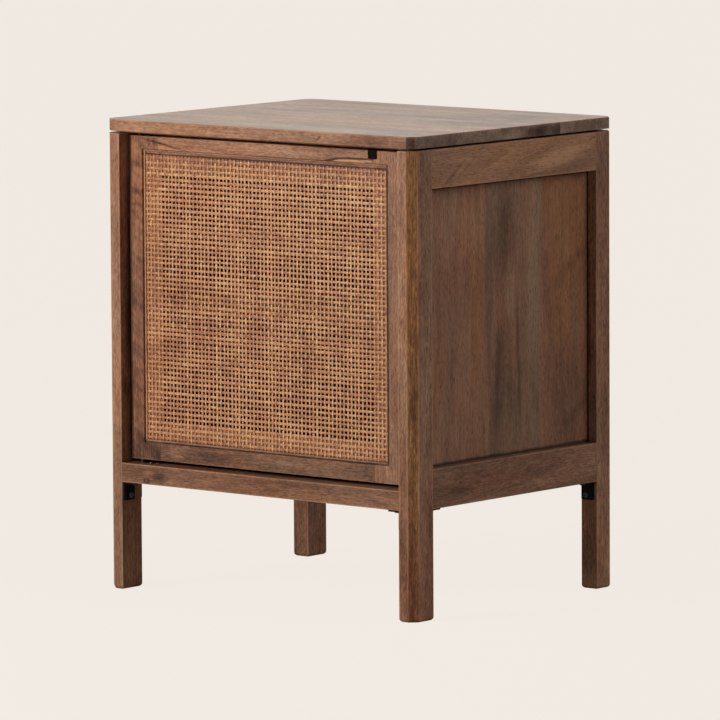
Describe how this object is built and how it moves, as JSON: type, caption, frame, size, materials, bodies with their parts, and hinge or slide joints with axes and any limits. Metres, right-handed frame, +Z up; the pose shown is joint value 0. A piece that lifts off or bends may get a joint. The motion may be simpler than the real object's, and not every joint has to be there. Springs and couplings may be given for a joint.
{
  "type": "storage side table",
  "caption": "Wooden side table with straight corner posts, a slab top over a shadow line, framed side and back panels, and a hinged cane door that opens to shelved storage.",
  "frame": {"origin": "on the floor, under the middle of the table", "axes": "+X to the right as seen from the front, -Y towards the front where the door is, +Z up"},
  "size_m": [0.512, 0.41, 0.61],
  "materials": {
    "wood": "brown-washed hardwood with a matt lacquer",
    "cane": "natural woven cane",
    "black_steel": "matt black",
    "bright_steel": "zinc plated",
    "catch_plastic": "moulded brown plastic"
  },
  "bodies": {
    "carcass": {"back_panel": "wood", "bottom_panel": "wood", "catch_body": "catch_plastic", "catch_magnet": "bright_steel", "corner_brackets": "black_steel", "front_bottom_rail": "wood", "front_top_stretcher": "wood", "hinge_plate_bottom": "bright_steel", "hinge_plate_top": "bright_steel", "leg_front_left": "wood", "leg_front_right": "wood", "leg_rear_left": "wood", "leg_rear_right": "wood", "rear_bottom_rail": "wood", "rear_top_cleat": "wood", "rear_top_rail": "wood", "shelf": "wood", "shelf_cleat_left": "wood", "shelf_cleat_right": "wood", "side_bottom_rail_left": "wood", "side_bottom_rail_right": "wood", "side_panel_left": "wood", "side_panel_right": "wood", "side_top_rail_left": "wood", "side_top_rail_right": "wood", "top_panel": "wood"},
    "door": {"cane_bead_bottom": "wood", "cane_bead_left": "wood", "cane_bead_right": "wood", "cane_bead_top": "wood", "cane_panel": "cane", "catch_strike": "bright_steel", "door_rail_bottom": "wood", "door_rail_top": "wood", "door_stile_left": "wood", "door_stile_right": "wood", "hinge_leaf_bottom": "bright_steel", "hinge_leaf_top": "bright_steel", "pull_tab": "black_steel"}
  },
  "joints": [
    {"name": "door_hinge", "type": "hinge", "parent": "carcass", "child": "door", "pos_m": [-0.213, -0.183, 0.17], "axis": [0, 0, -1], "range_deg": [0, 105]}
  ]
}
